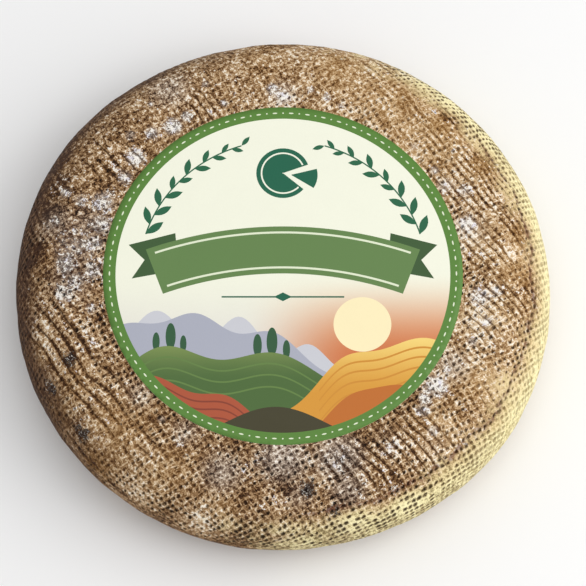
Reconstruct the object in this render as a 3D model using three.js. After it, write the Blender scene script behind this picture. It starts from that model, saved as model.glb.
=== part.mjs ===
// A whole raclette cheese: one pressed wheel with flat faces and a bulging side,
// and the round paper label that lies on its top face.
// Millimetres, +Z up. The origin is the centre of the face that the wheel rests on.
import * as THREE from "three";

// Driving dimensions
const wheelDiameter = 300;
const wheelHeight = 62;
const sideBulge = 32; // how far the side swells out past the flat faces
const sideFullness = 2.1; // 2 is a true ellipse, more is a squarer side
const labelDiameter = 200;
const labelThickness = 0.3;

// A pressed cheese is never quite round: each wave swells the side by that many millimetres.
// Whole turns hold an even number of waves, so opposite sides match and the wheel stays centred.
const rimWaves = [
  { swell: 0.7, perTurn: 2, phase: 0.6 },
  { swell: 0.4, perTurn: 4, phase: 2.1 },
  { swell: 0.25, perTurn: 6, phase: 4.0 },
];
// The top face sinks a little towards its rim, by turns more and less.
const shoulderSink = { depth: 1.2, perTurn: 3, phase: 1.1 };

// How finely the round shapes are stepped
const stepsPerTurn = 80;
const sideSteps = 22;
const faceRings = 3;

const wheelRadius = wheelDiameter / 2;
const faceRadius = wheelRadius - sideBulge;
const labelRadius = labelDiameter / 2;
const evenRadius = labelRadius + 4; // inside this the faces are truly flat

const rindLook = { color: 0xa88a62, roughness: 0.85, metalness: 0 };
const paperLook = { color: 0xf2f1e1, roughness: 0.6, metalness: 0 };

// One point of the side's outline: turn runs from 0 at the lower face to 1 at the upper face.
function sidePoint(turn) {
  const angle = turn * Math.PI;
  const power = 2 / sideFullness;
  const across = Math.sin(angle) ** power;
  const up = -Math.sign(Math.cos(angle)) * Math.abs(Math.cos(angle)) ** power;
  const halfHeight = wheelHeight / 2;
  return new THREE.Vector2(faceRadius + sideBulge * across, halfHeight + halfHeight * up);
}

// The wheel's outline from the middle of the lower face, round the side, to the middle of the upper face.
function wheelOutline() {
  const face = [0];
  for (let ring = 0; ring < faceRings; ring++) {
    face.push(THREE.MathUtils.lerp(evenRadius, faceRadius, ring / faceRings));
  }
  const lower = face.map((radius) => new THREE.Vector2(radius, 0));
  const upper = face.map((radius) => new THREE.Vector2(radius, wheelHeight)).reverse();
  const side = [];
  for (let step = 0; step <= sideSteps; step++) {
    side.push(sidePoint(step / sideSteps));
  }
  return [...lower, ...side, ...upper];
}

// A solid of revolution about +Z from an outline of (radius, height) points.
function turned(outline) {
  return new THREE.LatheGeometry(outline, stepsPerTurn).rotateX(Math.PI / 2);
}

// Moves each point of the turned wheel off its true round, the rim most and the even middle not at all.
function madeUneven(geometry) {
  const places = geometry.getAttribute("position");
  const point = new THREE.Vector3();
  for (let i = 0; i < places.count; i++) {
    point.fromBufferAttribute(places, i);
    const radius = Math.hypot(point.x, point.y);
    if (radius <= evenRadius) continue;
    const angle = Math.atan2(point.y, point.x);
    const share = THREE.MathUtils.smoothstep(radius, evenRadius, wheelRadius);
    let swell = 0;
    for (const wave of rimWaves) {
      swell += wave.swell * Math.cos(wave.perTurn * angle + wave.phase);
    }
    const grown = (radius + swell * share) / radius;
    const height = THREE.MathUtils.clamp((2 * point.z) / wheelHeight - 1, 0, 1);
    const sunk = 0.5 + 0.5 * Math.cos(shoulderSink.perTurn * angle + shoulderSink.phase);
    const drop = shoulderSink.depth * sunk * share * height;
    places.setXYZ(i, point.x * grown, point.y * grown, point.z - drop);
  }
  return geometry;
}

function cheeseWheel() {
  const mesh = new THREE.Mesh(
    madeUneven(turned(wheelOutline())),
    new THREE.MeshStandardMaterial(rindLook),
  );
  mesh.name = "cheese_wheel";
  return mesh;
}

// A flat disc of paper, laid on the middle of the top face.
function paperLabel() {
  const outline = [
    new THREE.Vector2(0, 0),
    new THREE.Vector2(labelRadius, 0),
    new THREE.Vector2(labelRadius, labelThickness),
    new THREE.Vector2(0, labelThickness),
  ];
  const mesh = new THREE.Mesh(turned(outline), new THREE.MeshStandardMaterial(paperLook));
  mesh.name = "paper_label";
  mesh.position.z = wheelHeight;
  return mesh;
}

const racletteWheel = new THREE.Group();
racletteWheel.add(cheeseWheel(), paperLabel());

export default racletteWheel;
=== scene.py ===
import math
import bmesh
import bpy
import numpy as np
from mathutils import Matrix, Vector
from mathutils.geometry import delaunay_2d_cdt


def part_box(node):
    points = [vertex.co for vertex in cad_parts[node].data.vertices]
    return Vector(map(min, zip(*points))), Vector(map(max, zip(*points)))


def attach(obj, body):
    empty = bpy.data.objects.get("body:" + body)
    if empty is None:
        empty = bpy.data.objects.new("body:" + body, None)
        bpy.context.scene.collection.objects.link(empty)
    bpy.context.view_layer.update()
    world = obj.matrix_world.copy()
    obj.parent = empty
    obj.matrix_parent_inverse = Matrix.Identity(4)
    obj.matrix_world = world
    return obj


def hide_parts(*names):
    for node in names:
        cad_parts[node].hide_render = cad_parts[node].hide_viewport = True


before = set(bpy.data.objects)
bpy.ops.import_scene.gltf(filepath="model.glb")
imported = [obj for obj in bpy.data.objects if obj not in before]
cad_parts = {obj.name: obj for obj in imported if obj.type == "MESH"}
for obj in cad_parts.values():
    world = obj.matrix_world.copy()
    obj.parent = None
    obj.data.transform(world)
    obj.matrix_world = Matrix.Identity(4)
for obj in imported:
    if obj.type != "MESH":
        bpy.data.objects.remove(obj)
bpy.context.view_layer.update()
wheelLow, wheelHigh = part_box("cheese_wheel")
labelLow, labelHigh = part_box("paper_label")
mm = 0.001


def ink(red, green, blue):  # a screen colour, 0 to 255, as Blender's linear colour
    parts = []
    for part in (red, green, blue):
        part /= 255
        parts.append(part / 12.92 if part <= 0.04045 else ((part + 0.055) / 1.055) ** 2.4)
    return (*parts, 1.0)


class Bench:  # lays nodes in a tree and wires them; a value may be a socket or a plain number
    def __init__(self, tree):
        self.tree = tree

    def lay(self, kind, inputs=None, **settings):
        node = self.tree.nodes.new(kind)
        for name, value in settings.items():
            setattr(node, name, value)
        for key, value in (inputs or {}).items():
            self.feed(node.inputs[key], value)
        return node

    def made(self, kind, inputs=None, **settings):  # a node's first output
        return self.lay(kind, inputs, **settings).outputs[0]

    def feed(self, socket, value):
        if isinstance(value, bpy.types.NodeSocket):
            self.tree.links.new(value, socket)
        else:
            socket.default_value = value

    def math(self, operation, *values):
        return self.made("ShaderNodeMath", dict(enumerate(values)), operation=operation)

    def vector(self, operation, *values):
        node = self.lay("ShaderNodeVectorMath", dict(enumerate(values)), operation=operation)
        return node.outputs[1 if operation in ("LENGTH", "DISTANCE", "DOT_PRODUCT") else 0]

    def scaled(self, vector, factor):
        inputs = {0: vector, "Scale": factor}
        return self.made("ShaderNodeVectorMath", inputs, operation="SCALE")

    def joined(self, x=0.0, y=0.0, z=0.0):
        return self.made("ShaderNodeCombineXYZ", {0: x, 1: y, 2: z})

    def split(self, vector):
        return self.lay("ShaderNodeSeparateXYZ", {0: vector}).outputs

    def turned(self, vector, angle):
        inputs = {"Vector": vector, "Angle": angle}
        return self.made("ShaderNodeVectorRotate", inputs, rotation_type="Z_AXIS")

    def fade(self, value, start, end, low=0.0, high=1.0):  # a smooth step from low to high
        inputs = {"Value": value, "From Min": start, "From Max": end, "To Min": low, "To Max": high}
        return self.made("ShaderNodeMapRange", inputs, interpolation_type="SMOOTHSTEP")

    def noise(self, vector, size, detail=2.0, roughness=0.5, out="Fac"):  # size is one blotch, in metres
        inputs = {"Vector": vector, "Scale": 1 / size, "Detail": detail, "Roughness": roughness}
        return self.lay("ShaderNodeTexNoise", inputs).outputs[out]

    def blend(self, share, under, over, way="MIX"):
        inputs = {0: share, 6: under, 7: over}
        return self.lay("ShaderNodeMix", inputs, data_type="RGBA", blend_type=way).outputs[2]

    def ramp(self, value, stops):
        node = self.lay("ShaderNodeValToRGB", {0: value})
        marks = node.color_ramp.elements
        while len(marks) < len(stops):
            marks.new(0.5)
        for mark, (place, colour) in zip(marks, stops):
            mark.position = place
            mark.color = ink(*colour)
        return node.outputs[0]

    def total(self, first, *others):
        for other in others:
            first = self.math("ADD", first, other)
        return first

    def product(self, first, *others):
        for other in others:
            first = self.math("MULTIPLY", first, other)
        return first

    def minus(self, first, second):
        return self.math("SUBTRACT", first, second)

    def larger(self, first, second):
        return self.math("MAXIMUM", first, second)

    def straight(self, value, slope, start):  # value * slope + start
        return self.math("MULTIPLY_ADD", value, slope, start)

    def around(self, value, amount):  # a noise's swing about its middle
        return self.product(self.minus(value, 0.5), amount)

    def moved(self, geometry, position):
        inputs = {"Geometry": geometry, "Position": position}
        return self.made("GeometryNodeSetPosition", inputs)

    def stored(self, geometry, name, value):
        inputs = {"Geometry": geometry, "Name": name, "Value": value}
        return self.made("GeometryNodeStoreNamedAttribute", inputs, data_type="FLOAT_VECTOR")

    def recalled(self, name):
        kind = "GeometryNodeInputNamedAttribute"
        return self.made(kind, {"Name": name}, data_type="FLOAT_VECTOR")


def setOut(name, data):  # a new object in the scene
    piece = bpy.data.objects.new(name, data)
    bpy.context.scene.collection.objects.link(piece)
    return piece


def growTree(name, sizes):  # an empty Geometry Nodes tree with a named input for each size
    tree = bpy.data.node_groups.new(name, "GeometryNodeTree")
    kinds = {int: "NodeSocketInt", float: "NodeSocketFloat", bpy.types.Material: "NodeSocketMaterial"}
    for label, value in sizes.items():
        tree.interface.new_socket(label, in_out="INPUT", socket_type=kinds[type(value)])
    tree.interface.new_socket("Geometry", in_out="OUTPUT", socket_type="NodeSocketGeometry")
    bench = Bench(tree)
    entry = bench.lay("NodeGroupInput")
    return bench, {label: entry.outputs[label] for label in sizes}


def finishTree(bench, geometry, material):  # every tree ends the same way
    whole = bench.made("GeometryNodeRealizeInstances", {"Geometry": geometry})
    coloured = bench.made("GeometryNodeSetMaterial", {"Geometry": whole, "Material": material})
    bench.lay("NodeGroupOutput", {"Geometry": coloured})


def grownMesh(name, tree, sizes):  # runs a tree with these sizes and gives a plain mesh
    holder = setOut(name, bpy.data.meshes.new(name + "_seed"))
    modifier = holder.modifiers.new("grow", "NODES")
    modifier.node_group = tree
    for item in tree.interface.items_tree:
        if item.in_out == "INPUT":
            modifier[item.identifier] = sizes[item.name]
    layers = bpy.context.evaluated_depsgraph_get()
    grown = holder.evaluated_get(layers)
    mesh = bpy.data.meshes.new_from_object(grown, preserve_all_data_layers=True, depsgraph=layers)
    seed = holder.data
    bpy.data.objects.remove(holder)
    bpy.data.meshes.remove(seed)
    return mesh


def startLook(name):  # an empty material
    material = bpy.data.materials.new(name)
    material.use_nodes = True
    material.node_tree.nodes.clear()
    return material, Bench(material.node_tree)


def finishLook(bench, surface, relief, strength, depth):  # every look ends the same way
    inputs = {"Strength": strength, "Distance": depth, "Height": relief}
    bump = bench.made("ShaderNodeBump", inputs)
    shader = bench.made("ShaderNodeBsdfPrincipled", {**surface, "Normal": bump})
    bench.lay("ShaderNodeOutputMaterial", {"Surface": shader})


# The wheel's form, the same as the solid's
wheel = {
    "radius": 150 * mm,
    "height": wheelHigh.z - wheelLow.z,
    "sideBulge": 32 * mm,
    "sideFullness": 2.1,
    "evenRadius": 104 * mm,  # inside this the faces are truly flat
    "rimWaves": ((0.7 * mm, 2, 0.6), (0.4 * mm, 4, 2.1), (0.25 * mm, 6, 4.0)),  # swell, waves a turn, phase
    "shoulderSink": (1.2 * mm, 3, 1.1),
    "outlinePoints": 64,
}

# The cloth that the cheese was pressed in, and what it left on the rind
cloth = {
    "thread": 3.6 * mm,
    "turn": math.radians(31),
    "pitDepth": 0.65 * mm,
    "creaseDepth": 0.75 * mm,
    "creaseTurn": math.radians(-49),
    "creaseGap": 5.2 * mm,
    "creaseCrowd": 250.0,  # how the folds crowd together towards the upper right
    "creaseRun": 64 * mm,
    "creaseSway": 1.6,
    "creaseSwayRun": 14,  # in threads
    "hemReach": 141 * mm,
    "hemSway": 12 * mm,
    "hemSwayRun": 22 * mm,
    "hemWidth": 2.4 * mm,
    "hemTurn": math.radians(-22),
    "openTurn": math.radians(-62),  # where the side keeps its pits down to the widest line
    "lump": 0.8 * mm,
    "lumpSize": 22 * mm,
    "grain": 0.28 * mm,
    "grainSize": 2.2 * mm,
    "patchSize": 28 * mm,  # of the places with more pits
    "looseSize": 40 * mm,  # of the places with loose folds
    "pull": 9 * mm,  # how far the whole net is drawn about
    "pullSize": 45 * mm,
    "nudge": 1.3 * mm,  # how far a single pit is
    "outerMargin": 15 * mm,  # the net lies still this near its rims
    "innerMargin": 10 * mm,
    "labelEdge": 95 * mm,  # the rind under the label is plain inside this
    "seam": 0.5 * mm,  # half the gap that is sewn up between two pieces of cloth
}

# Where the top is marked, as (angle round the wheel, distance from its middle, spread, strength)
topMarks = {
    "creased": (
        (10, 122, 38, 1.0), (28, 122, 36, 1.0), (46, 124, 34, 0.8), (62, 126, 30, 0.5),
        (198, 132, 46, 1.0), (216, 128, 40, 0.9), (232, 124, 30, 0.6), (283, 120, 24, 0.7),
        (294, 122, 30, 0.9), (308, 122, 34, 0.9), (352, 122, 32, 0.8),
    ),
    "grainy": (
        (55, 140, 40, 0.5), (74, 136, 52, 0.8), (96, 134, 58, 1.0), (118, 132, 60, 1.0),
        (140, 130, 60, 1.0), (158, 128, 52, 0.9), (175, 128, 30, 0.6),
    ),
    "pocked": (
        (0, 106, 20, 0.9), (22, 152, 20, 0.8), (40, 150, 22, 0.9), (58, 150, 18, 0.8),
        (196, 116, 22, 0.9), (205, 106, 26, 1.0), (212, 118, 20, 0.8), (222, 106, 22, 0.9),
        (228, 116, 18, 0.7), (238, 108, 18, 0.8), (244, 146, 20, 0.6), (256, 148, 22, 0.7),
        (262, 108, 18, 0.9), (270, 150, 24, 0.8), (280, 108, 16, 1.0), (282, 152, 24, 0.9),
        (285, 142, 20, 0.9), (298, 112, 18, 0.8), (300, 140, 22, 1.0), (300, 150, 26, 1.0),
        (318, 108, 18, 0.8), (320, 150, 26, 1.0), (340, 152, 24, 0.8), (345, 108, 18, 0.8),
    ),
    "damp": (
        (0, 106, 17, 1.3), (12, 134, 17, 1.5), (30, 134, 17, 1.5), (30, 152, 15, 1.2),
        (45, 133, 16, 1.8), (60, 107, 12, 0.8), (60, 134, 13, 0.8), (90, 120, 16, 0.6),
        (92, 152, 18, 2.0), (106, 108, 16, 0.6), (108, 122, 20, 0.5), (120, 152, 15, 0.9),
        (136, 122, 24, 0.6), (148, 124, 18, 0.6), (150, 111, 18, 0.8), (152, 106, 12, 0.5),
        (155, 135, 8, 1.7), (158, 140, 30, 0.7), (163, 137, 9, 2.2), (165, 118, 22, 0.6),
        (173, 139, 9, 2.2), (176, 140, 26, 0.7), (180, 122, 28, 0.7), (195, 106, 13, 0.8),
        (225, 153, 15, 1.3), (257, 105, 10, 0.6), (262, 124, 24, 0.2), (270, 121, 11, 0.9),
        (285, 124, 22, 0.5), (285, 134, 16, 1.1), (296, 134, 22, 1.0), (300, 110, 26, 0.9),
        (315, 107, 16, 1.2), (322, 122, 16, 1.2), (354, 107, 12, 0.6), (356, 133, 21, 1.3),
    ),
    # the dry spots at the side's edge, 150 mm and more out, lighten it where it lies in shade: painted
    # light
    "dryAndLit": (
        (11, 106, 13, 0.9), (30, 106, 14, 0.5), (43, 117, 15, 0.5), (45, 108, 18, 0.4),
        (50, 152, 15, 1.0), (60, 151, 16, 1.4), (75, 107, 12, 0.6), (90, 107, 13, 0.9),
        (90, 131, 14, 0.5), (120, 135, 16, 1.0), (196, 138, 17, 1.4), (225, 106, 14, 0.7),
        (226, 128, 26, 0.6), (238, 153, 21, 2.4), (240, 106, 13, 0.5), (240, 140, 32, 0.9),
        (252, 154, 23, 2.4), (256, 121, 14, 1.1), (270, 106, 12, 1.2), (270, 153, 18, 1.4),
        (285, 154, 18, 2.2), (298, 154, 17, 1.8), (300, 122, 14, 0.6), (307, 136, 17, 0.7),
        (315, 120, 19, 0.5), (315, 134, 17, 0.4), (328, 108, 15, 0.9), (332, 134, 19, 1.1),
        (345, 118, 14, 0.9), (346, 112, 22, 1.3), (352, 110, 18, 0.5),
    ),
    "calm": (
        (2, 134, 24, 1.0), (10, 138, 24, 0.9), (12, 116, 28, 0.7), (30, 132, 34, 0.9),
        (45, 120, 52, 1.0), (60, 122, 44, 1.0), (75, 132, 34, 0.9), (95, 138, 30, 0.5),
        (198, 150, 20, 1.0), (210, 130, 26, 0.5), (212, 151, 20, 1.0), (225, 128, 36, 0.8),
        (226, 152, 22, 1.1), (240, 132, 32, 0.8), (255, 140, 22, 0.5), (314, 126, 26, 0.8),
        (330, 126, 30, 0.9), (350, 122, 26, 0.5), (352, 140, 18, 0.5), (358, 152, 18, 0.8),
    ),
    "ashen": (
        (14, 108, 26, 0.5), (90, 108, 18, 0.7), (120, 130, 26, 0.7), (165, 112, 28, 0.6),
        (166, 131, 24, 0.7), (182, 118, 28, 0.6), (222, 106, 18, 0.6), (240, 106, 18, 0.6),
        (254, 120, 24, 0.8), (270, 108, 28, 1.0), (274, 128, 20, 0.6), (286, 112, 28, 1.0),
        (286, 130, 22, 0.8), (300, 112, 22, 0.4), (310, 130, 24, 0.4), (330, 108, 20, 0.7),
        (346, 112, 26, 0.3),
    ),
    "mould": (
        (6, 105, 8, 0.2), (16, 107, 11, 0.8), (26, 113, 8, 0.6), (30, 105, 10, 0.6), (36, 105, 5, 0.7),
        (46, 106, 5, 0.5), (72, 106, 4, 0.6), (77, 109, 5, 0.7), (82, 112, 4, 0.7), (90, 106, 7, 1.0),
        (93, 111, 7, 0.9), (108, 108, 4, 0.7), (111, 123, 4, 0.7), (120, 109, 6, 0.8),
        (125, 108, 9, 1.0), (126, 127, 4, 0.7), (131, 112, 7, 0.8), (136, 119, 6, 0.6),
        (140, 108, 9, 0.9), (147, 106, 8, 0.7), (157, 109, 12, 0.75), (158, 131, 7, 0.6),
        (159, 121, 9, 0.5), (164, 106, 12, 0.8), (167, 131, 11, 0.5), (170, 107, 10, 0.8),
        (172, 116, 26, 0.5), (177, 120, 12, 0.9), (179, 106, 9, 0.9), (182, 116, 12, 0.7),
        (185, 122, 10, 0.85), (191, 108, 7, 0.5), (232, 108, 5, 0.5), (240, 112, 7, 0.5),
        (262, 112, 12, 0.3), (272, 108, 9, 0.4), (285, 112, 12, 0.4), (300, 118, 8, 0.4),
        (312, 123, 6, 0.7), (314, 111, 7, 0.8), (317, 107, 7, 0.8), (318, 105, 7, 0.5),
        (322, 107, 11, 1.0), (328, 107, 5, 0.7), (339, 112, 5, 0.8), (346, 116, 7, 0.6),
        (353, 110, 11, 0.7), (355, 118, 9, 0.5),
    ),
    "stain": (
        (203, 128, 8, 1.0), (206, 146, 8, 0.8), (219, 145, 9, 1.0), (276, 126, 9, 1.0),
        (282, 140, 8, 0.7),
    ),
}
underMarks = {
    "creased": ((40, 120, 40, 0.8), (160, 130, 40, 0.8), (250, 110, 40, 0.7)),
    "grainy": ((100, 60, 60, 0.7), (300, 120, 50, 0.7)),
    "pocked": ((20, 110, 40, 0.8), (140, 90, 40, 0.9), (260, 80, 40, 0.8)),
    "damp": ((60, 70, 30, 0.6), (190, 100, 30, 0.7), (330, 90, 26, 0.5)),
    "calm": ((90, 90, 50, 0.9), (240, 110, 50, 0.9)),
    "ashen": ((150, 100, 40, 0.8), (330, 60, 40, 0.8)),
    "dryAndLit": ((120, 110, 30, 0.6), (280, 60, 30, 0.6)),
    "mould": ((20, 80, 14, 0.7), (140, 60, 16, 0.7), (230, 100, 13, 0.8), (310, 40, 12, 0.6)),
    "stain": ((70, 100, 9, 0.8), (200, 50, 8, 0.8)),
}


def spots(bench, place, marks):  # the strongest of several round soft spots at a place
    strongest = 0.0
    for angle, reach, spread, strength in marks:
        turn = math.radians(angle)
        centre = (reach * mm * math.cos(turn), reach * mm * math.sin(turn), 0)
        apart = bench.vector("DISTANCE", place, centre)
        strongest = bench.larger(strongest, bench.fade(apart, spread * mm, 0, 0, strength))
    return strongest


def creaseGap(bench, threads):  # how far off the nearest fold is: 0 on its line, 0.5 between two
    angle = cloth["creaseTurn"] - cloth["turn"]
    along, across, _ = bench.split(bench.turned(threads, -angle))
    sway = bench.around(bench.noise(threads, cloth["creaseSwayRun"], 2), cloth["creaseSway"])
    across = bench.product(across, cloth["thread"])
    rate = bench.straight(across, cloth["creaseCrowd"], 1 / cloth["creaseGap"])
    count = bench.straight(across, rate, sway)
    number = bench.math("ROUND", count)
    gap = bench.math("ABSOLUTE", bench.minus(count, number))
    run = bench.product(along, cloth["thread"] / cloth["creaseRun"])
    apartFolds = bench.product(number, 5.3)  # each fold breaks in its own places
    broken = bench.noise(bench.joined(run, apartFolds), 1.0, 1)
    return bench.math("MINIMUM", bench.total(gap, bench.fade(broken, 0.46, 0.32)), 0.5)


def facingShare(bench, flat, turn, start, end, stir=0.0):  # how far a place lies towards an angle
    aim = (math.cos(turn), math.sin(turn), 0)
    ahead = bench.vector("DOT_PRODUCT", bench.vector("NORMALIZE", flat), aim)
    return bench.fade(bench.total(ahead, stir), start, end)


def hemLine(bench, flat):  # a broken fold along the shoulder, where the cloth's hem lay
    sway = bench.around(bench.noise(flat, cloth["hemSwayRun"], 2), cloth["hemSway"])
    apart = bench.minus(bench.vector("LENGTH", flat), bench.total(sway, cloth["hemReach"]))
    line = bench.fade(bench.math("ABSOLUTE", apart), cloth["hemWidth"], 0.3 * mm)
    return bench.product(line, facingShare(bench, flat, cloth["hemTurn"], 0.15, 0.6))


def outlineCurve(bench, given):  # from the middle of a face, over the shoulder, to the widest line
    count = wheel["outlinePoints"]
    line = bench.made("GeometryNodeMeshLine", {"Count": count})
    index = bench.made("GeometryNodeInputIndex")
    past = bench.larger(bench.minus(index, 1), 0)
    angle = bench.product(past, math.pi / 2 / (count - 2))
    power = bench.math("DIVIDE", 2, given["Side Fullness"])
    out = bench.product(bench.math("POWER", bench.math("SINE", angle), power), given["Side Bulge"])
    face = bench.minus(given["Wheel Radius"], given["Side Bulge"])
    out = bench.product(bench.total(face, out), bench.math("GREATER_THAN", index, 0.5))
    half = bench.product(given["Wheel Height"], 0.5)
    high = bench.product(bench.math("POWER", bench.math("COSINE", angle), power), half)
    line = bench.moved(line, bench.joined(out, 0, high))
    return bench.made("GeometryNodeMeshToCurve", {"Mesh": line}), half


def trimmedNet(bench, given, outer, place, far):  # a square net, its rims drawn out to true circles
    step = bench.math("DIVIDE", given["Thread"], given["Steps"])
    rows = bench.total(bench.math("CEIL", bench.math("DIVIDE", outer, step)), 1)
    side = bench.product(rows, step, 2)
    points = bench.straight(rows, 2, 1)
    points = bench.made("FunctionNodeFloatToInt", {0: points}, rounding_mode="ROUND")
    sizes = {"Size X": side, "Size Y": side, "Vertices X": points, "Vertices Y": points}
    net = bench.made("GeometryNodeMeshGrid", sizes)
    spare = bench.product(step, 0.4)
    ring = bench.math("GREATER_THAN", given["Inner"], 0)
    tooNear = bench.math("LESS_THAN", far, bench.straight(spare, ring, given["Inner"]))
    tooFar = bench.math("GREATER_THAN", far, bench.minus(outer, spare))
    outside = bench.larger(bench.product(tooNear, ring), tooFar)
    net = bench.made("GeometryNodeDeleteGeometry", {"Geometry": net, "Selection": outside})
    sides = bench.made("GeometryNodeInputMeshEdgeNeighbors")
    single = bench.math("COMPARE", sides, 1, 0.1)
    rim = bench.made("GeometryNodeFieldOnDomain", {0: single}, data_type="FLOAT", domain="EDGE")
    rim = bench.math("GREATER_THAN", rim, 0.01)
    middle = bench.product(bench.total(outer, given["Inner"]), 0.5)
    outward = bench.math("GREATER_THAN", far, middle)
    breadth = bench.minus(outer, given["Inner"])
    edge = bench.total(given["Inner"], bench.product(breadth, outward))
    pull = bench.math("DIVIDE", edge, bench.larger(far, 1e-6))
    pull = bench.total(1, bench.product(rim, bench.minus(pull, 1)))
    net = bench.moved(net, bench.scaled(place, pull))
    close = {"Geometry": net, "Distance": bench.product(step, 0.35), "Selection": rim}
    return bench.made("GeometryNodeMergeByDistance", close)


def clothTree(name, marks):  # a disc or ring of marked rind, wrapped over the wheel's outline
    bench, given = growTree(name, clothSizes())
    fade, larger, minus, product = bench.fade, bench.larger, bench.minus, bench.product
    outline, half = outlineCurve(bench, given)
    reach = bench.made("GeometryNodeCurveLength", {"Curve": outline})
    outer = bench.math("MINIMUM", given["Outer"], minus(reach, given["Seam"]))
    place = bench.made("GeometryNodeInputPosition")
    far = bench.vector("LENGTH", place)
    net = trimmedNet(bench, given, outer, place, far)

    # places counted in threads, with a pit at each whole number
    threads = bench.scaled(place, bench.math("DIVIDE", 1, given["Thread"]))
    net = bench.stored(net, "cloth", threads)
    threads = bench.recalled("cloth")
    cell = bench.vector("FLOOR", bench.vector("ADD", threads, (0.5, 0.5, 0)))
    seeded = bench.vector("ADD", cell, bench.joined(0, 0, given["Seed"]))
    chance = bench.lay("ShaderNodeTexWhiteNoise", {"Vector": seeded}, noise_dimensions="3D").outputs
    inPit = bench.math("LESS_THAN", bench.vector("DISTANCE", threads, cell), 0.05)

    # the net turned, pulled about a little, and laid over the outline
    turned = bench.turned(place, given["Turn"])
    seedShift = bench.joined(given["Seed"], 0, 0)
    free = fade(far, outer, minus(outer, cloth["outerMargin"]))
    stillTo = bench.total(given["Inner"], cloth["innerMargin"])
    free = product(free, fade(far, given["Inner"], stillTo))
    shifted = bench.vector("ADD", turned, seedShift)
    pulled = bench.noise(shifted, cloth["pullSize"], 2, out="Color")
    pulled = bench.vector("SUBTRACT", pulled, (0.5, 0.5, 0.5))
    nudged = bench.vector("SUBTRACT", chance["Color"], (0.5, 0.5, 0.5))
    nudged = bench.scaled(nudged, product(inPit, cloth["nudge"]))
    moved = bench.vector("ADD", bench.scaled(pulled, cloth["pull"]), nudged)
    flat = bench.vector("ADD", turned, bench.vector("MULTIPLY", bench.scaled(moved, free), (1, 1, 0)))
    net = bench.stored(net, "flat", flat)
    flat = bench.recalled("flat")
    away = bench.vector("LENGTH", flat)
    radial = bench.vector("NORMALIZE", flat)
    taken = bench.lay("GeometryNodeSampleCurve", {"Curves": outline, "Length": away}, mode="LENGTH")
    radius, _, height = bench.split(taken.outputs["Position"])
    slopeOut, _, slopeUp = bench.split(taken.outputs["Tangent"])
    facing = bench.scaled(radial, product(slopeUp, -1))
    facing = bench.vector("ADD", facing, bench.joined(0, 0, slopeOut))

    # the same slow unevenness as the solid's
    x, y, _ = bench.split(flat)
    bearing = bench.math("ARCTAN2", y, x)

    def wave(perTurn, phase):
        return bench.math("COSINE", bench.straight(bearing, perTurn, phase))

    share = fade(radius, wheel["evenRadius"], given["Wheel Radius"])
    swells = [product(wave(perTurn, phase), size) for size, perTurn, phase in wheel["rimWaves"]]
    swell = bench.total(*swells)
    depth, perTurn, phase = wheel["shoulderSink"]
    sink = bench.straight(wave(perTurn, phase), 0.5, 0.5)
    up = bench.math("GREATER_THAN", given["Up"], 0)
    sink = product(sink, depth, share, bench.math("DIVIDE", height, half), up)
    radius = bench.total(radius, product(swell, share))
    height = minus(height, sink)

    # what the cloth pressed in
    zones = {kind: spots(bench, flat, places) for kind, places in marks.items()}
    # dry spots lift the tone; at the side's edge they are painted light
    damp = minus(zones["damp"], zones["dryAndLit"])
    patchy = bench.noise(shifted, cloth["patchSize"], 2)
    hem = hemLine(bench, flat)
    pitted = fade(patchy, 0.36, 0.6, 0.4, 0.95)
    pitted = product(pitted, fade(zones["creased"], 0.3, 0.9, 1.0, 0.6))
    pitted = product(pitted, fade(zones["grainy"], 0.15, 0.8, 1.0, 0.12))
    pitted = larger(pitted, zones["pocked"])
    pitted = product(pitted, fade(chance["Value"], 0.0, 0.75, 0.12, 1.0))
    smooth = fade(slopeOut, 0.38, 0.0, 1.0, 0.4)
    smooth = larger(smooth, facingShare(bench, flat, cloth["openTurn"], 0.35, 0.75))
    smooth = product(smooth, bench.straight(up, 0.35, 0.65))
    pitted = product(pitted, smooth)
    pitted = larger(pitted, fade(hem, 0.2, 0.7, 0, 0.95))
    loose = fade(bench.noise(shifted, cloth["looseSize"], 1), 0.5, 0.68, 0.05, 0.6)
    creased = larger(loose, zones["creased"])
    grainy = larger(fade(patchy, 0.55, 0.35, 0.15, 0.5), zones["grainy"])
    lumps = bench.around(bench.noise(shifted, cloth["lumpSize"], 2), given["Lump"])
    nearRim = fade(radius, wheel["evenRadius"], given["Wheel Radius"], 0.12, 1)
    lumps = product(lumps, 2, nearRim)
    grains = bench.around(bench.noise(shifted, cloth["grainSize"], 2), given["Grain"])
    grains = product(grains, 2.5, grainy)
    raised = bench.total(lumps, grains)
    flatBelow = product(fade(slopeOut, 0.9, 0.995), minus(1, up))
    underLabel = fade(away, labelHigh.x + 6 * mm, labelHigh.x + 2 * mm)
    kept = larger(flatBelow, underLabel)
    raised = minus(raised, product(larger(raised, 0), kept))
    sunk = product(fade(creaseGap(bench, threads), 0.27, 0.0), creased, given["Crease Depth"])
    sunk = larger(sunk, product(hem, given["Crease Depth"], 0.7))
    sunk = bench.total(sunk, product(inPit, pitted, given["Pit Depth"]))
    raised = minus(raised, product(sunk, free))
    placed = bench.vector("ADD", bench.scaled(radial, radius), bench.joined(0, 0, height))
    placed = bench.vector("ADD", placed, bench.scaled(facing, raised))
    placed = bench.vector("MULTIPLY", placed, bench.joined(1, 1, given["Up"]))
    placed = bench.vector("ADD", placed, bench.joined(0, 0, half))
    net = bench.stored(net, "press", bench.joined(pitted, creased, grainy))
    net = bench.stored(net, "bloom", bench.joined(zones["mould"], zones["stain"], damp))
    net = bench.stored(net, "lie", bench.joined(slopeOut, zones["calm"], zones["ashen"]))
    net = bench.moved(net, placed)
    net = bench.made("GeometryNodeSetShadeSmooth", {"Geometry": net})
    finishTree(bench, net, given["Material"])
    return bench.tree


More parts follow.
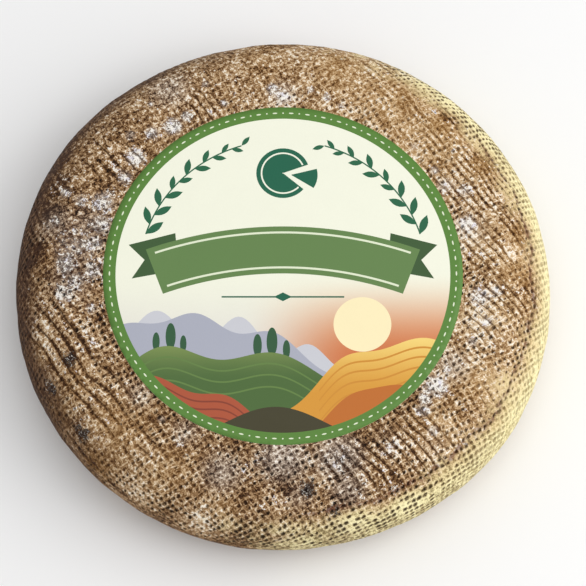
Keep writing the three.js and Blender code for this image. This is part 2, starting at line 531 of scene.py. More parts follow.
def clothSizes(inner=0.0, outer=1.0, steps=3, up=1.0, seed=0.0):
    return {
        "Wheel Radius": wheel["radius"],
        "Wheel Height": wheel["height"],
        "Side Bulge": wheel["sideBulge"],
        "Side Fullness": wheel["sideFullness"],
        "Thread": cloth["thread"],
        "Steps": steps,
        "Turn": cloth["turn"],
        "Pit Depth": cloth["pitDepth"],
        "Crease Depth": cloth["creaseDepth"],
        "Lump": cloth["lump"],
        "Grain": cloth["grain"],
        "Inner": inner,
        "Outer": outer,
        "Seam": cloth["seam"],
        "Up": up,
        "Seed": seed,
        "Material": rindMaterial,
    }


rindLayers = ("cloth", "flat", "press", "bloom", "lie")  # what the trees store for the rind's look
rindGrain = {
    "cell": 2.3 * mm,
    "bend": 1.6 * mm,
    "crumb": 2.1 * mm,
    "fine": 0.9 * mm,
    "close": 8 * mm,
    "wide": 32 * mm,
    "film": 6 * mm,
    "wobble": 1.2 * mm,
    "bumpDepth": 0.5 * mm,
}
rindInk = {
    # from the floor of a gap to the top of a dry ridge
    "tones": (
        (0.0, (18, 7, 0)), (0.2, (78, 50, 28)), (0.42, (137, 105, 73)),
        (0.62, (181, 150, 115)), (0.82, (224, 200, 168)), (1.0, (252, 243, 228)),
    ),
    # down the pale side, from the shoulder to the wheel's widest line; its pale yellow is partly painted
    # light
    "paleLitSide": ((0.0, (192, 164, 122)), (0.45, (219, 200, 152)), (1.0, (241, 232, 182))),
    "paleShade": (0.64, 0.575, 0.455, 1.0),  # what the pale side is multiplied by in gaps and on ridges
    "paleLight": (1.14, 1.13, 1.12, 1.0),
    # the brown side, partly painted shade, from its gaps to its ridges
    "brownShadedSide": ink(66, 43, 30),
    "brownShadedRidge": ink(104, 73, 50),
    "pit": ink(15, 5, 0),
    "shallowPit": ink(84, 52, 30),
    "sidePit": ink(22, 9, 0),
    "palePit": ink(112, 88, 48),
    "paleRim": ink(146, 112, 66),
    "fold": ink(54, 32, 15),
    "rust": ink(108, 64, 44),
    "mould": ink(250, 245, 236),
    "lilac": ink(230, 226, 234),
    "haze": ink(172, 159, 148),
    "crumb": ink(72, 54, 40),
    "stain": ink(34, 27, 28),
    "paleLitTurn": math.radians(-12),  # the way that the pale side faces, towards the right-hand lamp; partly painted light
    # the way that the brown side faces, away from the right-hand lamp: partly painted shade
    "brownShadedTurn": math.radians(165),
    "northTurn": math.radians(58),  # where the pale side reaches highest
    "faintTurn": math.radians(-8),  # where the pale side's pits hardly show and it is palest: painted light
    # the way that the top is drawn lighter: painted light
    "paintedLightTurn": math.radians(40),
}


def rindLook():
    material, bench = startLook("washed_rind")
    around, blend, fade = bench.around, bench.blend, bench.fade
    minus, product, straight, total = bench.minus, bench.product, bench.straight, bench.total

    def read(name):
        return bench.lay("ShaderNodeAttribute", attribute_name=name).outputs["Vector"]

    def towards(name, start, end, stir=0.0):
        return facingShare(bench, flat, rindInk[name], start, end, stir)

    here = bench.lay("ShaderNodeTexCoord").outputs["Object"]
    threads = read("cloth")
    flat = read("flat")
    pitted, creased, grainy = bench.split(read("press"))
    mould, stain, damp = bench.split(read("bloom"))
    level, calm, ashen = bench.split(read("lie"))

    # dry crumbs, hair-fine grain and slower blotches
    bend = bench.noise(here, rindGrain["bend"], 1, out="Color")
    bent = bench.vector("ADD", here, bench.scaled(bend, rindGrain["bend"]))
    cells = bench.lay("ShaderNodeTexVoronoi", {"Vector": bent, "Scale": 1 / rindGrain["cell"]}).outputs
    lump = fade(cells["Distance"], 0.75, 0.15)
    chance, second, third = bench.split(cells["Color"])
    crumb = bench.noise(here, rindGrain["crumb"], 2, 0.62)
    fine = bench.noise(here, rindGrain["fine"], 2, 0.6)
    close = bench.noise(here, rindGrain["close"], 3, 0.6)
    wide = bench.noise(here, rindGrain["wide"], 3, 0.55)

    # pits with uneven lips, broken ridges between them, folds and the hem
    wobble = bench.noise(here, rindGrain["wobble"], 1, out="Color")
    wobble = bench.vector("SUBTRACT", wobble, (0.5, 0.5, 0.5))
    nearest = bench.vector("FLOOR", bench.vector("ADD", threads, (0.5, 0.5, 0)))
    offset = bench.vector("SUBTRACT", threads, nearest)
    offset = bench.vector("ADD", offset, bench.scaled(wobble, 0.48))
    offX, offY, _ = bench.split(bench.vector("ABSOLUTE", offset))
    strands = 0.0
    for stretch, off in (((4.2, 1.28, 1), offX), ((1.28, 4.2, 1), offY)):
        streaks = bench.noise(bench.vector("MULTIPLY", threads, stretch), 1.0, 1)
        strand = product(fade(streaks, 0.38, 0.66), fade(off, 0.08, 0.36))
        strands = bench.larger(strands, strand)
    strands = product(strands, fade(level, 0.15, 0.6, 0.4, 1.0))
    offset = bench.vector("MULTIPLY", bench.turned(offset, math.radians(-25)), (0.78, 1.15, 0))
    lip = fade(pitted, 0.1, 1.0, 0.19, 0.38)  # a deeper pit is a wider one
    lip = product(lip, fade(level, 0.85, 0.45, 1.0, 1.4))
    outFrom = bench.math("DIVIDE", bench.vector("LENGTH", offset), lip)
    isPit = fade(pitted, 0.06, 0.4)
    broken = bench.larger(fade(close, 0.34, 0.6, 0.35, 1.0), fade(level, 0.1, 0.4))
    hole = product(fade(outFrom, 1.1, 0.25), isPit, broken)
    deep = product(fade(pitted, 0.3, 0.85), straight(calm, -0.55, 1.0))
    # a painted highlight on the lip round each pit
    rim = product(fade(outFrom, 2.0, 1.15), minus(1, hole), deep)
    inFold = fade(creased, 0.1, 0.75)
    gap = creaseGap(bench, threads)
    fold = product(fade(gap, 0.12, 0.02), inFold, fade(level, 0.45, 0.7))
    furrow = product(fade(gap, 0.0, 0.36, -0.5, 0.5), inFold)
    hem = product(hemLine(bench, flat), fade(close, 0.36, 0.56))

    # how light each place is, with painted light towards the upper right, painted highlights on the pits'
    # lips and painted glints
    # the top drawn lighter and richer towards the upper right: painted light
    paintedLight = towards("paintedLightTurn", -1, 1)
    woven = fade(grainy, 0.35, 0.9, 1.0, 0.25)
    dull = straight(calm, -0.45, 1.3)
    # painted glints on a few crumbs
    paintedGlints = fade(chance, 0.85, 0.97, -0.01, 0.12)
    lumps = total(around(lump, 0.35), around(second, 0.3), paintedGlints)
    grit = total(around(crumb, 0.75), around(fine, 1.2))
    grains = total(
        product(lumps, straight(woven, -0.3, 0.8)),
        product(grit, straight(woven, -0.4, 1.0)),
        product(around(strands, 0.3), straight(woven, 0.4, 0.6)),
    )
    tone = total(
        0.585,
        product(grains, dull),
        around(close, 0.4),
        around(wide, 0.34),
        around(paintedLight, 0.16),
        product(furrow, fade(calm, 0, 1, 0.32, 0.2)),
        product(damp, -0.14),
        # painted highlights on the pits' lips
        product(rim, fade(second, 0, 1, 0.04, 0.17)),
    )
    colour = bench.ramp(tone, rindInk["tones"])
    rich = total(1.05, product(paintedLight, 0.04), product(calm, 0.09))
    colour = bench.made("ShaderNodeHueSaturation", {"Saturation": rich, "Color": colour})

    # the side is pale yellow one way and brown the other: the pale side is partly painted light towards the
    # right-hand lamp, the brown side partly painted shade away from it
    north = product(towards("northTurn", 0.5, 0.98), fade(level, 0.995, 0.88))
    ragged = total(
        level,
        around(close, 0.35),
        around(crumb, 0.3),
        product(damp, 0.1),
        product(north, -0.25),
    )
    down = fade(ragged, 0.95, 0.3)
    # the part facing the right-hand lamp is drawn palest, its pits washed out: painted light
    litWashout = towards("faintTurn", 0.62, 0.92)
    ragged = straight(litWashout, -0.1, ragged)
    stir = total(around(wide, 0.8), around(close, 0.5))
    # pale yellow, partly painted light on the side towards the lamp
    paleAndLit = product(fade(ragged, 0.88, 0.54), towards("paleLitTurn", -0.05, 0.5, stir))
    paleAndLit = product(paleAndLit, bench.larger(fade(tone, 0.2, 0.55, 0.6, 1.0), litWashout))
    shade = blend(fade(tone, 0.12, 0.75), rindInk["paleShade"], rindInk["paleLight"])
    paleLitTone = blend(1.0, bench.ramp(down, rindInk["paleLitSide"]), shade, "MULTIPLY")
    colour = blend(product(paleAndLit, 0.92), colour, paleLitTone)
    # brown with painted shade on the side away from the right-hand lamp
    brownShadeLevel = straight(damp, -0.2, ragged)
    brownAndShade = product(fade(brownShadeLevel, 0.95, 0.55), towards("brownShadedTurn", 0.3, 0.85))
    brownShadeTone = blend(fade(tone, 0.35, 0.75), rindInk["brownShadedSide"], rindInk["brownShadedRidge"])
    colour = blend(product(brownAndShade, 0.9), colour, brownShadeTone)

    # dry mould in flecks, dark spots, and rust along the hem
    film = bench.noise(here, rindGrain["film"], 4, 0.65)
    sown = total(
        around(film, 1.1),
        product(mould, 0.5),
        around(wide, 0.4),
        product(furrow, 0.35),
        product(calm, -0.12),
        fade(level, 0.8, 0.5, 0, -0.35),
    )
    flecks = fade(total(sown, around(crumb, 1.3), around(fine, 0.9)), 0.3, 0.44)
    faded = bench.larger(mould, product(ashen, 0.8))
    faded = fade(faded, 0.1, 0.8, 1.0, 0.58)  # the ground goes grey under mould
    colour = bench.made("ShaderNodeHueSaturation", {"Saturation": faded, "Color": colour})
    haze = product(fade(mould, 0.1, 0.7), fade(film, 0.32, 0.62), 0.45)
    colour = blend(haze, colour, rindInk["haze"])
    white = blend(fade(third, 0.6, 0.9), rindInk["mould"], rindInk["lilac"])
    dusty = fade(total(tone, around(fine, 1.0)), 0.55, 0.15, 0, 0.9)
    white = blend(dusty, white, rindInk["crumb"])
    colour = blend(product(flecks, 0.95), colour, white)
    dark = total(film, product(stain, 0.6), around(second, 0.3), around(fine, 0.7))
    colour = blend(fade(dark, 0.76, 0.92, 0, 0.9), colour, rindInk["stain"])
    speck = product(fade(stain, 0.1, 0.5), fade(fine, 0.6, 0.68), 0.6)
    colour = blend(speck, colour, rindInk["mould"])
    colour = blend(product(hem, fade(second, 0.0, 0.5), 0.8), colour, rindInk["rust"])
    colour = blend(product(fold, fade(calm, 0, 1, 0.85, 0.35)), colour, rindInk["fold"])

    # the pits, paler where the side is pale, paler still where painted light washes it out, and hidden
    # under mould
    soaked = product(fade(outFrom, 1.3, 0.6), isPit, paleAndLit)
    soaked = product(soaked, fade(litWashout, 0, 1, 0.6, 0.15))
    colour = blend(soaked, colour, rindInk["paleRim"])
    bottom = blend(deep, rindInk["shallowPit"], rindInk["pit"])
    bottom = blend(fade(level, 0.8, 0.5), bottom, rindInk["sidePit"])
    palest = product(paleAndLit, litWashout, fade(level, 0.86, 0.6), minus(1, hem))
    bottom = blend(palest, bottom, rindInk["palePit"])
    faint = product(paleAndLit, towards("faintTurn", 0.6, 0.92), fade(level, 0.8, 0.5))
    buried = product(flecks, minus(1, woven))
    shown = product(
        hole,
        fade(faint, 0, 1, 0.93, 0.4),
        fade(calm, 0, 1, 1.0, 0.7),
        fade(buried, 0, 1, 1.0, 0.3),
    )
    colour = blend(shown, colour, bottom)

    relief = total(grains, product(hole, -1), product(furrow, 0.6))
    rough = fade(close, 0.3, 0.7, 0.68, 0.92)
    surface = {"Base Color": colour, "Roughness": rough, "Specular IOR Level": 0.14}
    finishLook(bench, surface, relief, 0.85, rindGrain["bumpDepth"])
    return material


rindMaterial = rindLook()


def patchArrays(mesh):  # a grown patch as arrays, with its rim's corners in order of angle
    count = len(mesh.vertices)
    places = np.empty(count * 3, np.float32)
    mesh.vertices.foreach_get("co", places)
    marks = {}
    for name in rindLayers:
        marks[name] = np.empty(count * 3, np.float32)
        mesh.attributes[name].data.foreach_get("vector", marks[name])
        marks[name] = marks[name].reshape(-1, 3)
    faces = [list(polygon.vertices) for polygon in mesh.polygons]
    edges = np.empty(len(mesh.edges) * 2, np.int32)
    mesh.edges.foreach_get("vertices", edges)
    used = np.empty(len(mesh.loops), np.int32)
    mesh.loops.foreach_get("edge_index", used)
    single = np.bincount(used, minlength=len(mesh.edges)) == 1
    rim = np.unique(edges.reshape(-1, 2)[single])
    flat = marks["flat"]
    away = np.hypot(flat[rim, 0], flat[rim, 1])
    angle = np.arctan2(flat[rim, 1], flat[rim, 0])
    order = np.argsort(angle)
    rim, away = rim[order], away[order]
    middle = (away.max() + away.min()) / 2 if np.ptp(away) > 5 * mm else 0
    return places.reshape(-1, 3), marks, faces, rim[away > middle], rim[away <= middle]


def sewn(first, second, angles):  # triangles that close the gap between two rims
    def ring(rim, k):
        return rim[k % len(rim)]

    def turn(rim, k):
        return angles[ring(rim, k)] + 2 * math.pi * (k // len(rim))

    faces = []
    i, j = 0, 0
    while i < len(first) or j < len(second):
        if j >= len(second) or (i < len(first) and turn(first, i + 1) < turn(second, j + 1)):
            faces.append([ring(first, i), ring(first, i + 1), ring(second, j)])
            i += 1
        else:
            faces.append([ring(first, i), ring(second, j + 1), ring(second, j)])
            j += 1
    return faces


def makeWheel():
    edge = cloth["labelEdge"]
    topTree = clothTree("pressed_top", topMarks)
    underTree = clothTree("pressed_under", underMarks)
    patches = (
        (topTree, clothSizes(0.0, edge - 2 * cloth["seam"], 1, 1.0, 0.0)),
        (topTree, clothSizes(edge, 1.0, 3, 1.0, 0.0)),
        (underTree, clothSizes(edge, 1.0, 3, -1.0, 7.0)),
        (underTree, clothSizes(0.0, edge - 2 * cloth["seam"], 2, -1.0, 7.0)),
    )
    places, faces, rims, marks = [], [], [], []
    first = 0
    for number, (tree, sizes) in enumerate(patches):
        mesh = grownMesh(f"rind_patch_{number}", tree, sizes)
        at, found, patchFaces, outerRim, innerRim = patchArrays(mesh)
        places.append(at)
        marks.append(found)
        faces += [[first + corner for corner in face] for face in patchFaces]
        rims.append((first + outerRim, first + innerRim))
        print("rind patch", number, len(at), "points", len(patchFaces), "faces")
        first += len(at)
        bpy.data.meshes.remove(mesh)
    flat = np.concatenate([found["flat"] for found in marks])
    angles = np.arctan2(flat[:, 1], flat[:, 0])
    faces += sewn(rims[0][0], rims[1][1], angles)
    faces += sewn(rims[1][0], rims[2][0], angles)
    faces += sewn(rims[2][1], rims[3][0], angles)
    mesh = bpy.data.meshes.new("cheese")
    mesh.from_pydata(np.concatenate(places).tolist(), [], faces)
    for name in rindLayers:
        layer = mesh.attributes.new(name, "FLOAT_VECTOR", "POINT")
        layer.data.foreach_set("vector", np.concatenate([found[name] for found in marks]).ravel())
    mesh.materials.append(rindMaterial)
    facedOut(mesh)
    return setOut("cheese", mesh)


def facedOut(mesh):  # faces turned outwards and shaded smooth
    bm = bmesh.new()
    bm.from_mesh(mesh)
    bmesh.ops.recalc_face_normals(bm, faces=bm.faces)
    loose = [edge for edge in bm.edges if len(edge.link_faces) != 2]
    triangles = sum(len(face.verts) - 2 for face in bm.faces)
    print(mesh.name, "has", len(loose), "open edges and", triangles, "triangles")
    bm.to_mesh(mesh)
    bm.free()
    mesh.polygons.foreach_set("use_smooth", [True] * len(mesh.polygons))


cheese = makeWheel()
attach(cheese, "root")
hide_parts("cheese_wheel")

# The paper label: a generic print of plain shapes, in millimetres from the label's middle
label = {
    "radius": labelHigh.x / mm,
    "ringWidth": 7.0,
    "beadReach": 96.4,
    "beads": 132,
    "sheet": 0.26 * mm,
    "lift": 0.02 * mm,  # clear of the rind
    "ripple": 0.05 * mm,
    "netStep": 3.0,
    "fibre": 0.5 * mm,
    "cloud": 14 * mm,
    "bumpDepth": 0.08 * mm,
}
inks = {
    "cream": (242, 243, 224),
    "mist": (226, 222, 214),
    "sunset": (206, 112, 62),
    "sun": (250, 236, 190),
    "peak": (202, 203, 210),
    "farHill": (170, 173, 187),
    "tree": (46, 88, 56),
    "greenTop": (134, 152, 84),
    "greenFoot": (74, 104, 52),
    "greenRow": (98, 128, 66),
    "goldTop": (248, 222, 132),
    "goldFoot": (214, 150, 52),
    "goldRow": (206, 140, 48),
    "redHill": (172, 82, 52),
    "redRow": (134, 60, 40),
    "amberHill": (190, 108, 40),
    "darkHill": (64, 60, 36),
    "ring": (88, 130, 54),
    "bead": (226, 234, 206),
    "leaf": (32, 98, 66),
    "ribbon": (98, 130, 74),
    "ribbonShade": (58, 88, 48),
    "rule": (226, 234, 206),
    "emblem": (20, 96, 70),
}
hills = {  # the foot, and each hump's middle, spread and height
    "peak": (-60, ((-70, 22, 38), (-24, 18, 34), (14, 14, 18))),
    "far": (-62, ((-88, 24, 30), (-48, 24, 36), (-6, 22, 26))),
    "near": (-74, ((-66, 30, 30), (-6, 34, 27))),
    "gold": (-84, ((78, 42, 46), (32, 20, 20))),
    "red": (-96, ((-74, 30, 36), (-30, 20, 20))),
    "amber": (-100, ((66, 30, 34), (34, 18, 16))),
    "dark": (-104, ((-4, 42, 26),)),
}


def hillTop(x, base, humps):  # the height of a row of rounded hills
    return base + sum(tall * math.exp(-((x - middle) / spread) ** 2) for middle, spread, tall in humps)


# a hill down to the label's foot, or a thin row that follows its top
def hill(base, humps, left=-112, right=112, down=0.0, thick=None, count=110):
    across = [left + (right - left) * k / count for k in range(count + 1)]
    top = [(x, hillTop(x, base, humps) - down) for x in across]
    if thick is None:
        return top + [(right, -130), (left, -130)]
    return top + [(x, y - thick) for x, y in reversed(top)]


def disc(x, y, radius, count=48, flatten=1.0):
    turn = [2 * math.pi * k / count for k in range(count)]
    return [(x + radius * math.cos(a), y + radius * flatten * math.sin(a)) for a in turn]


def arcBand(x, y, inner, outer, start, end, count=48):  # a piece of ring between two angles, in degrees
    turn = [math.radians(start + (end - start) * k / count) for k in range(count + 1)]
    outside = [(x + outer * math.cos(a), y + outer * math.sin(a)) for a in turn]
    return outside + [(x + inner * math.cos(a), y + inner * math.sin(a)) for a in reversed(turn)]


def ringSpot(bench, turn, reach):  # the place on a circle at an angle
    return bench.scaled(bench.joined(bench.math("COSINE", turn), bench.math("SINE", turn)), reach)


def sprigSizes(start=0.0, sweep=1.0, side=1.0):
    return {
        "Reach": 80.0 * mm,
        "Start": math.radians(start),
        "Sweep": math.radians(sweep),
        "Leaves": 14,
        "Leaf Length": 11.5 * mm,
        "Leaf Width": 4.2 * mm,
        "Lean": math.radians(34),
        "Side": side,
        "Seed": 3,
        "Material": labelMaterial,
    }


def sprigTree():  # pointed leaves, by turns on either side of an arc
    bench, given = growTree("leaf_sprig", sprigSizes())
    leaf = bench.made("GeometryNodeMeshCircle", {"Vertices": 20, "Radius": 0.5}, fill_type="NGON")
    x, y, _ = bench.split(bench.made("GeometryNodeInputPosition"))
    toTip = bench.math("ABSOLUTE", bench.product(x, 2))
    thin = bench.minus(1, bench.math("POWER", toTip, 2.6))
    lengthwise = bench.product(bench.total(x, 0.5), given["Leaf Length"])
    leaf = bench.moved(leaf, bench.joined(lengthwise, bench.product(y, thin, given["Leaf Width"])))
    line = bench.made("GeometryNodeMeshLine", {"Count": given["Leaves"]})
    index = bench.made("GeometryNodeInputIndex")
    along = bench.math("DIVIDE", index, bench.minus(given["Leaves"], 1))
    turn = bench.straight(along, given["Sweep"], given["Start"])
    line = bench.moved(line, ringSpot(bench, turn, given["Reach"]))
    parity = bench.straight(bench.math("MODULO", index, 2), 2, -1)
    drawn = {2: 0.82, 3: 1.1, "ID": index, "Seed": given["Seed"]}  # least and most, by place
    vary = bench.lay("FunctionNodeRandomValue", drawn, data_type="FLOAT").outputs[1]
    ahead = bench.straight(given["Side"], math.pi / 2, turn)
    lean = bench.straight(bench.product(parity, given["Lean"]), vary, ahead)
    size = bench.product(vary, bench.minus(1.0, bench.product(along, 0.35)))
    inputs = {"Points": line, "Instance": leaf, "Rotation": bench.joined(0, 0, lean),
              "Scale": bench.joined(size, size, size)}
    leaves = bench.made("GeometryNodeInstanceOnPoints", inputs)
    finishTree(bench, leaves, given["Material"])
    return bench.tree


def beadSizes():
    return {
        "Reach": label["beadReach"] * mm,
        "Beads": label["beads"],
        "Dash": 2.7 * mm,
        "Dot": 0.95 * mm,
        "Thickness": 0.85 * mm,
        "Material": labelMaterial,
    }


def beadTree():  # a dash and a dot by turns, all round the ring
    bench, given = growTree("ring_beads", beadSizes())
    bead = bench.made("GeometryNodeMeshCircle", {"Vertices": 12, "Radius": 0.5}, fill_type="NGON")
    line = bench.made("GeometryNodeMeshLine", {"Count": given["Beads"]})
    index = bench.made("GeometryNodeInputIndex")
    turn = bench.product(bench.math("DIVIDE", index, given["Beads"]), 2 * math.pi)
    line = bench.moved(line, ringSpot(bench, turn, given["Reach"]))
    dotted = bench.math("MODULO", index, 2)
    shorter = bench.minus(given["Dot"], given["Dash"])
    wide = bench.total(given["Dash"], bench.product(dotted, shorter))
    turned = bench.joined(0, 0, bench.total(turn, math.pi / 2))
    inputs = {"Points": line, "Instance": bead, "Rotation": turned,
              "Scale": bench.joined(wide, given["Thickness"], 1)}
    finishTree(bench, bench.made("GeometryNodeInstanceOnPoints", inputs), given["Material"])
    return bench.tree


def grownOutlines(name, tree, sizes):  # each face that a tree makes, as an outline in millimetres
    mesh = grownMesh(name, tree, sizes)
    outlines = [[tuple(mesh.vertices[i].co.xy / mm) for i in polygon.vertices] for polygon in mesh.polygons]
    bpy.data.meshes.remove(mesh)
    return outlines


def eased(value, start, end):
    share = min(max((value - start) / (end - start), 0), 1)
    return share * share * (3 - 2 * share)


def mixed(first, second, share):
    return tuple(a + (b - a) * share for a, b in zip(first, second))


def eveningSky(x, y):  # cream above, warm below and to the right
    low = eased(y, 2, -52)
    warm = mixed(inks["mist"], inks["sunset"], eased(x, -25, 45))
    return mixed(inks["cream"], warm, low)


def goldHill(x, y):
    return mixed(inks["goldTop"], inks["goldFoot"], eased(y, -28, -72))


def greenHill(x, y):
    return mixed(inks["greenTop"], inks["greenFoot"], eased(y, -34, -64))


def labelPrint():  # outlines and their colours, the later ones on top
    motifs = []

    def add(outline, colour):
        motifs.append((outline, colour))

    add(disc(0, 0, label["radius"], 256), eveningSky)
    add(disc(44, -30, 16, 64), inks["sun"])
    add(hill(*hills["peak"]), inks["peak"])
    add(hill(*hills["far"]), inks["farHill"])
    for x, tall in ((-70, 10), (-62, 14), (-55, 9), (-14, 12), (-6, 15), (2, 10), (-84, 11)):
        foot = hillTop(x, *hills["near"]) - 2
        add(disc(x, foot + tall * 0.55, tall * 0.2, 24, 2.8), inks["tree"])
    add(hill(*hills["near"]), greenHill)
    for down in (6, 12.5, 19.5):
        add(hill(*hills["near"], -100, 20, down, 1.0), inks["greenRow"])
    add(hill(*hills["gold"]), goldHill)
    for down in (5, 10.5, 16.5, 23):
        add(hill(*hills["gold"], 20, 112, down, 1.1), inks["goldRow"])
    add(hill(*hills["red"]), inks["redHill"])
    for down in (4, 8.5, 13.5):
        add(hill(*hills["red"], -108, -10, down, 1.0), inks["redRow"])
    add(hill(*hills["amber"]), inks["amberHill"])
    add(hill(*hills["dark"]), inks["darkHill"])
    for start, sweep, side in ((163, -56, -1.0), (17, 56, 1.0)):
        for outline in grownOutlines("sprig", sprigTree(), sprigSizes(start, sweep, side)):
            add(outline, inks["leaf"])
        stem = sorted((start, start + sweep))
        add(arcBand(0, 0, 79.6, 80.4, *stem), inks["leaf"])
    add(hill(-13.4, (), -34, 34, 0, 0.9, 2), inks["emblem"])
    add([(-5, -13.8), (0, -16.4), (5, -13.8), (0, -11.2)], inks["emblem"])
    # a blank ribbon, arched, with folded ends
    for side in (-1, 1):
        tail = [(side * 58, 2), (side * 84, -3), (side * 77, 8), (side * 86, 17), (side * 60, 24)]
        add(tail, inks["ribbonShade"])
    middle = -190
    for inner, outer, name in ((190, 218, "ribbon"), (193, 194.2, "rule"), (213.8, 215, "rule")):
        spread = 20.5 if name == "ribbon" else 19.4
        add(arcBand(0, middle, inner, outer, 90 - spread, 90 + spread), inks[name])
    # a wheel of cheese with a piece drawn out of it
    add(arcBand(0, 60, 0.3, 15, 20, 320, 60), inks["emblem"])
    add(arcBand(4.4, 59, 0.3, 15, -32, 14, 16), inks["emblem"])
    add(arcBand(0, 60, 11.6, 12.5, 24, 316, 60), inks["cream"])
    inner = label["radius"] - label["ringWidth"]
    add(arcBand(0, 0, inner, label["radius"] + 1, 0, 360, 256), inks["ring"])
    for outline in grownOutlines("beads", beadTree(), beadSizes()):
        add(outline, inks["bead"])
    return motifs


def inside(outline, points):  # which points lie inside an outline
    shape = np.array(outline)
    found = np.zeros(len(points), bool)
    low, high = shape.min(0), shape.max(0)
    near = np.flatnonzero(((points >= low) & (points <= high)).all(1))
    px, py = points[near, 0], points[near, 1]
    hit = np.zeros(len(near), bool)
    for (ax, ay), (bx, by) in zip(shape, np.roll(shape, -1, 0)):
        if ay != by:
            crossing = ((ay > py) != (by > py)) & (px < (bx - ax) * (py - ay) / (by - ay) + ax)
            hit ^= crossing
    found[near] = hit
    return found


def labelLook():
    material, bench = startLook("printed_paper")
    here = bench.lay("ShaderNodeTexCoord").outputs["Object"]
    printed = bench.lay("ShaderNodeAttribute", attribute_name="ink").outputs["Color"]
    fibre = bench.noise(bench.vector("MULTIPLY", here, (1, 0.35, 1)), label["fibre"], 3, 0.6)
    cloudy = bench.noise(here, label["cloud"], 3, 0.55)
    shade = bench.total(0.96, bench.product(fibre, 0.05), bench.product(cloudy, 0.03))
    colour = bench.blend(1.0, printed, bench.joined(shade, shade, shade), "MULTIPLY")
    rough = bench.fade(cloudy, 0.3, 0.7, 0.42, 0.55)
    surface = {"Base Color": colour, "Roughness": rough, "Specular IOR Level": 0.35}
    finishLook(bench, surface, fibre, 0.25, label["bumpDepth"])
    return material


labelMaterial = labelLook()


def printedNet(motifs):  # one flat net of triangles, and which motif shows on each
    corners, lines = [], []
    for outline, _ in motifs:
        first = len(corners)
        corners += [Vector(point) for point in outline]
        lines += [(first + k, first + (k + 1) % len(outline)) for k in range(len(outline))]
    reach = label["radius"]
    rows = int(reach / label["netStep"])
    for i in range(-rows, rows + 1):
        for j in range(-rows, rows + 1):
            spot = Vector((i + (j % 2) * 0.5, j * 0.87)) * label["netStep"]
            if spot.length < reach - 2:
                corners.append(spot)
    places, _, triangles, *_ = delaunay_2d_cdt(corners, lines, [], 0, 1e-4)
    flat = np.array([tuple(place) for place in places])
    faces = np.array([face for face in triangles])
    centres = flat[faces].mean(1)
    faces = faces[inside(motifs[0][0], centres)]
    centres = flat[faces].mean(1)
    owner = np.zeros(len(faces), int)
    for number, (outline, _) in enumerate(motifs):
        owner[inside(outline, centres)] = number
    used, faces = np.unique(faces, return_inverse=True)
    faces = faces.reshape(-1, 3)
    flat = flat[used]
    area = np.cross(flat[faces[:, 1]] - flat[faces[:, 0]], flat[faces[:, 2]] - flat[faces[:, 0]])
    faces[area < 0] = faces[area < 0][:, ::-1]
    return flat, faces, owner


def makeLabel():  # a thin sheet with a slight ripple and a flat back
    motifs = labelPrint()
    flat, faces, owner = printedNet(motifs)
    print("label print", len(motifs), "shapes", len(faces), "triangles")
    x, y = flat.T
    ripple = np.sin(x / 17 + 0.6 * np.sin(y / 23)) * np.sin(y / 13 + 0.5 * np.sin(x / 19)) * label["ripple"]
    bottom = labelLow.z + label["lift"]
    top = bottom + label["sheet"] - label["ripple"] + ripple - label["lift"]
    count = len(flat)
    printed = np.column_stack([x * mm, y * mm, top])
    reverse = np.column_stack([x * mm, y * mm, np.full(count, bottom)])
    sheet = np.concatenate([printed, reverse])
    directed = np.concatenate([faces[:, (0, 1)], faces[:, (1, 2)], faces[:, (2, 0)]])
    edges = np.sort(directed, 1)
    _, where, times = np.unique(edges, axis=0, return_index=True, return_counts=True)
    start, end = directed[where[times == 1]].T
    upper = np.column_stack([end, start, start + count])
    lower = np.column_stack([end, start + count, end + count])
    wall = np.concatenate([upper, lower])
    back = faces[:, ::-1] + count
    every = np.concatenate([faces, back, wall])
    mesh = bpy.data.meshes.new("label")
    mesh.from_pydata(sheet.tolist(), [], every.tolist())
    paint = np.empty((len(every), 3, 4))
    paint[:] = ink(*inks["cream"])
    for number, face in enumerate(faces):
        colour = motifs[owner[number]][1]
        for k, corner in enumerate(face):
            shade = colour(x[corner], y[corner]) if callable(colour) else colour
            paint[number, k] = ink(*shade)
    layer = mesh.attributes.new("ink", "FLOAT_COLOR", "CORNER")
    layer.data.foreach_set("color", paint.ravel())
    mesh.materials.append(labelMaterial)
    facedOut(mesh)
    return setOut("label", mesh)


paper = makeLabel()
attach(paper, "root")
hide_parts("paper_label")

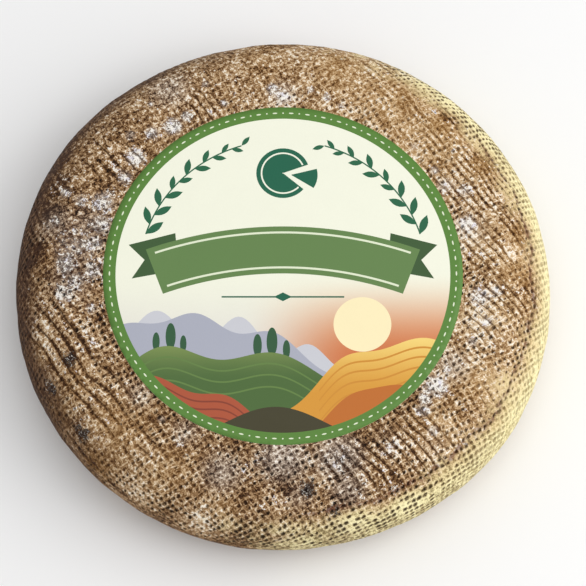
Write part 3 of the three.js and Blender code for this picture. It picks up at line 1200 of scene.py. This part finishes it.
# Floor, light and camera
studio = {
    "aim": (5.6 * mm, -0.2 * mm, wheel["height"] / 2),
    "elevation": math.radians(70.0),
    "distance": 2.2,
    "lens": 240.0,
    "sensor": 36.0,
    "clipEnd": 100.0,
    "floorRadius": 12.0,
    "floorSides": 64,
    "floorTone": 0.92,
    "floorRoughness": 0.9,
    "skyStrength": 0.62,
    "lamps": (  # name, place, size, power
        ("key_right", (1.6, -0.1, 1.1), 1.8, 20),
        ("top_fill", (0.3, -0.3, 2.0), 1.8, 9),
    ),
}


def makeStudio():
    floorMesh = bpy.data.meshes.new("floor")
    sides = studio["floorSides"]
    corners = [(x, y, 0) for x, y in disc(0, 0, studio["floorRadius"], sides)]
    floorMesh.from_pydata(corners, [], [list(range(sides))])
    floor = setOut("floor", floorMesh)
    material = bpy.data.materials.new("pale_floor")
    material.use_nodes = True
    shader = material.node_tree.nodes["Principled BSDF"]
    shader.inputs["Base Color"].default_value = (*[studio["floorTone"]] * 3, 1)
    shader.inputs["Roughness"].default_value = studio["floorRoughness"]
    floorMesh.materials.append(material)
    world = bpy.data.worlds.new("soft_sky")
    world.use_nodes = True
    sky = world.node_tree.nodes["Background"]
    sky.inputs["Color"].default_value = (1, 1, 1, 1)
    sky.inputs["Strength"].default_value = studio["skyStrength"]
    bpy.context.scene.world = world
    for name, place, size, power in studio["lamps"]:
        lamp = bpy.data.lights.new(name, "AREA")
        lamp.size = size
        lamp.energy = power
        holder = setOut(name, lamp)
        holder.location = place
        holder.rotation_euler = (-Vector(place)).to_track_quat("-Z", "Y").to_euler()
    camera = setOut("camera", bpy.data.cameras.new("camera"))
    camera.data.lens = studio["lens"]
    camera.data.sensor_width = studio["sensor"]
    back = Vector((0, -math.cos(studio["elevation"]), math.sin(studio["elevation"])))
    camera.location = Vector(studio["aim"]) + back * studio["distance"]
    camera.rotation_euler = (-back).to_track_quat("-Z", "Y").to_euler()
    camera.data.clip_end = studio["clipEnd"]
    bpy.context.scene.camera = camera
    bpy.context.scene.view_settings.view_transform = "Standard"
    print("studio", len(studio["lamps"]), "lamps")


makeStudio()
